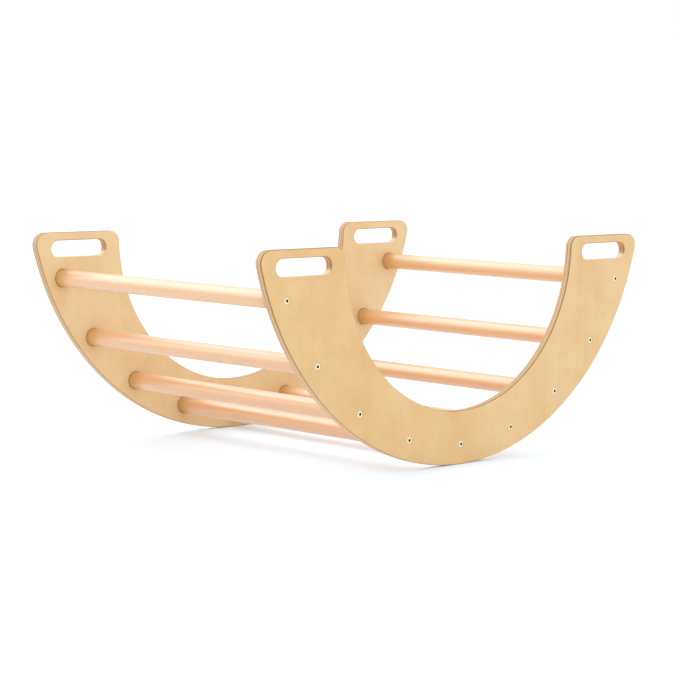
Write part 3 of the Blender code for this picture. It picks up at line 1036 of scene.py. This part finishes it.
# The socket is painted near black, as painted shade in the recess.
bolt_socket_shade = node(tree, "ShaderNodeAttribute", -500, -300, attribute_name="socket_shade")
bolt_socket_shaded = blend_colours(tree, -250, 100, bolt_socket_shade.outputs["Fac"], colour, SOCKET_SHADE_DARK)
tree.links.new(bolt_socket_shaded, shader.inputs["Base Color"])
for bolt in bolts:
    bolt.data.materials.append(steel)
    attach(bolt, "root")
print("bolts finished:", len(bolts))

# %% Finish the inserts
BRASS = (0.800, 0.600, 0.270)
BRASS_DULL = (0.430, 0.300, 0.130)

brass, *_ = new_metal("brass_finish", BRASS, BRASS_DULL, 0.6, 0.30)
inserts = [solid for name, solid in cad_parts.items() if name.startswith("insert_nut")]
for insert in inserts:
    insert.data.materials.clear()
    insert.data.materials.append(brass)
print("inserts finished:", len(inserts))

# %% [markdown]
# ## The floor and the light
# The toy stands on a white sweep in a white room, so its light is soft and comes from
# all sides. One weak lamp above and behind it gives the floor a soft shadow in front of
# each panel. A second lamp, lower and behind, is there for the varnish alone: it shows in
# reflections, as the pale streak along the rungs, and lights nothing else.
#
# Sun lamps with a wide angle give the same even, soft light everywhere. Area lamps would
# fall off across the floor and leave it grey at the edges.
#
# In the photograph the floor is overexposed, so only the deeper shadows show on it. To
# the camera this floor glows a little, which does the same. It is also slightly blue: the
# wood throws warm light on the floor beside it, and the blue turns the shadows there back
# to grey. To the wood the floor is a plain pale grey, so that it doesn't light the toy
# too strongly from below.

# %% Lay the floor
FLOOR_REACH = 60.0
FLOOR_GLOW = (0.12, 0.14, 0.16)
FLOOR_TO_CAMERA = (0.83, 0.91, 0.98)
FLOOR_TO_WOOD = (0.78, 0.78, 0.78)

shape = bmesh.new()
bmesh.ops.create_grid(shape, x_segments=1, y_segments=1, size=FLOOR_REACH)
floor = finish_piece(shape, "studio_floor")
print("floor:", 2 * FLOOR_REACH, "m wide")

# %% Make the floor's paper
paper = bpy.data.materials.new("floor_paper")
paper.use_nodes = True
tree = paper.node_tree
tree.nodes.clear()
rays = node(tree, "ShaderNodeLightPath", -600, 0).outputs
seen = maths(tree, "MAXIMUM", -400, 0, rays["Is Camera Ray"], rays["Is Glossy Ray"])
seen = maths(tree, "MAXIMUM", -250, 0, seen, rays["Is Transmission Ray"])
paper_colour = blend_colours(tree, -50, 0, seen, FLOOR_TO_WOOD, FLOOR_TO_CAMERA)
matt = node(tree, "ShaderNodeBsdfDiffuse", 150, 0)
tree.links.new(paper_colour, matt.inputs["Color"])
glow = node(tree, "ShaderNodeEmission", 150, -150, Color=(*FLOOR_GLOW, 1.0))
tree.links.new(seen, glow.inputs["Strength"])
both = node(tree, "ShaderNodeAddShader", 350, 0)
tree.links.new(matt.outputs["BSDF"], both.inputs[0])
tree.links.new(glow.outputs["Emission"], both.inputs[1])
out = node(tree, "ShaderNodeOutputMaterial", 500, 0)
tree.links.new(both.outputs["Shader"], out.inputs["Surface"])
floor.data.materials.append(paper)
print("paper nodes:", len(tree.nodes))

# %% Light the room
world = bpy.data.worlds.new("white_room")
bpy.context.scene.world = world
world.use_nodes = True
tree = world.node_tree
tree.nodes.clear()
background = node(tree, "ShaderNodeBackground", 100, 0, Color=(*WHITE, 1.0), Strength=1.0)
out = node(tree, "ShaderNodeOutputWorld", 300, 0)
tree.links.new(background.outputs["Background"], out.inputs["Surface"])
print("room light:", background.inputs["Strength"].default_value)


# %% Hang the lamps
def soft_lamp(name, azimuth, elevation, level, spread):
    """A wide sun. Azimuth 0 shines from -Y and -90 from -X. A level of 1 lights a white
    surface that faces it to plain white."""
    data = bpy.data.lights.new(name, "SUN")
    data.energy = math.pi * level
    data.angle = math.radians(spread)
    lamp = bpy.data.objects.new(name, data)
    bpy.context.scene.collection.objects.link(lamp)
    turn, rise = math.radians(azimuth), math.radians(elevation)
    source = Vector((
        math.sin(turn) * math.cos(rise),
        -math.cos(turn) * math.cos(rise),
        math.sin(rise),
    ))
    lamp.rotation_mode = "QUATERNION"
    lamp.rotation_quaternion = (-source).to_track_quat("-Z", "Y")
    return lamp


soft_lamp("overhead_lamp", 180, 62, 0.26, 86)
streak_lamp = soft_lamp("streak_lamp", 208, 38, 0.41, 60)
streak_lamp.visible_diffuse = False
print("lamps:", [name for name in bpy.data.lights.keys() if name.endswith("_lamp")])

# %% [markdown]
# ## The camera
# The photograph was taken from the front left, a little above the floor, with a long
# lens. The place and turn below were found by fitting the toy's known corners, bolts and
# rung ends to where they are in the picture.

# %% Set up the camera
CAMERA_PLACE = Vector((-2.8104, -2.9219, 0.6153))
CAMERA_HEADING = 0.765638
CAMERA_PITCH = -0.102614
CAMERA_ROLL = 0.011176
FOCAL_PIXELS = 2157.08
PICTURE_PIXELS = 680
SENSOR_WIDTH = 36.0
FAR_LIMIT = 200.0

lens = bpy.data.cameras.new("studio_camera")
lens.sensor_width = SENSOR_WIDTH
lens.lens = FOCAL_PIXELS / PICTURE_PIXELS * lens.sensor_width
lens.clip_end = FAR_LIMIT
print("lens:", round(lens.lens, 1), "mm")

# %% Turn the camera to the toy
forward = Vector((
    math.sin(CAMERA_HEADING) * math.cos(CAMERA_PITCH),
    math.cos(CAMERA_HEADING) * math.cos(CAMERA_PITCH),
    math.sin(CAMERA_PITCH),
))
level_right = Vector((math.cos(CAMERA_HEADING), -math.sin(CAMERA_HEADING), 0.0))
level_up = level_right.cross(forward)
right = math.cos(CAMERA_ROLL) * level_right + math.sin(CAMERA_ROLL) * level_up
up = -math.sin(CAMERA_ROLL) * level_right + math.cos(CAMERA_ROLL) * level_up
camera = bpy.data.objects.new("studio_camera", lens)
bpy.context.scene.collection.objects.link(camera)
camera_turn = Matrix((right, up, -forward)).transposed().to_4x4()
camera.matrix_world = Matrix.Translation(CAMERA_PLACE) @ camera_turn
bpy.context.scene.camera = camera
bpy.context.scene.view_settings.view_transform = "Standard"
print("camera looks", round(math.degrees(-CAMERA_PITCH), 1), "degrees down")

# %% [markdown]
# ## Last step
# The scene is updated once more. The dressed toy has to stay inside the solid's box.

# %% Update the scene and finish
bpy.context.view_layer.update()
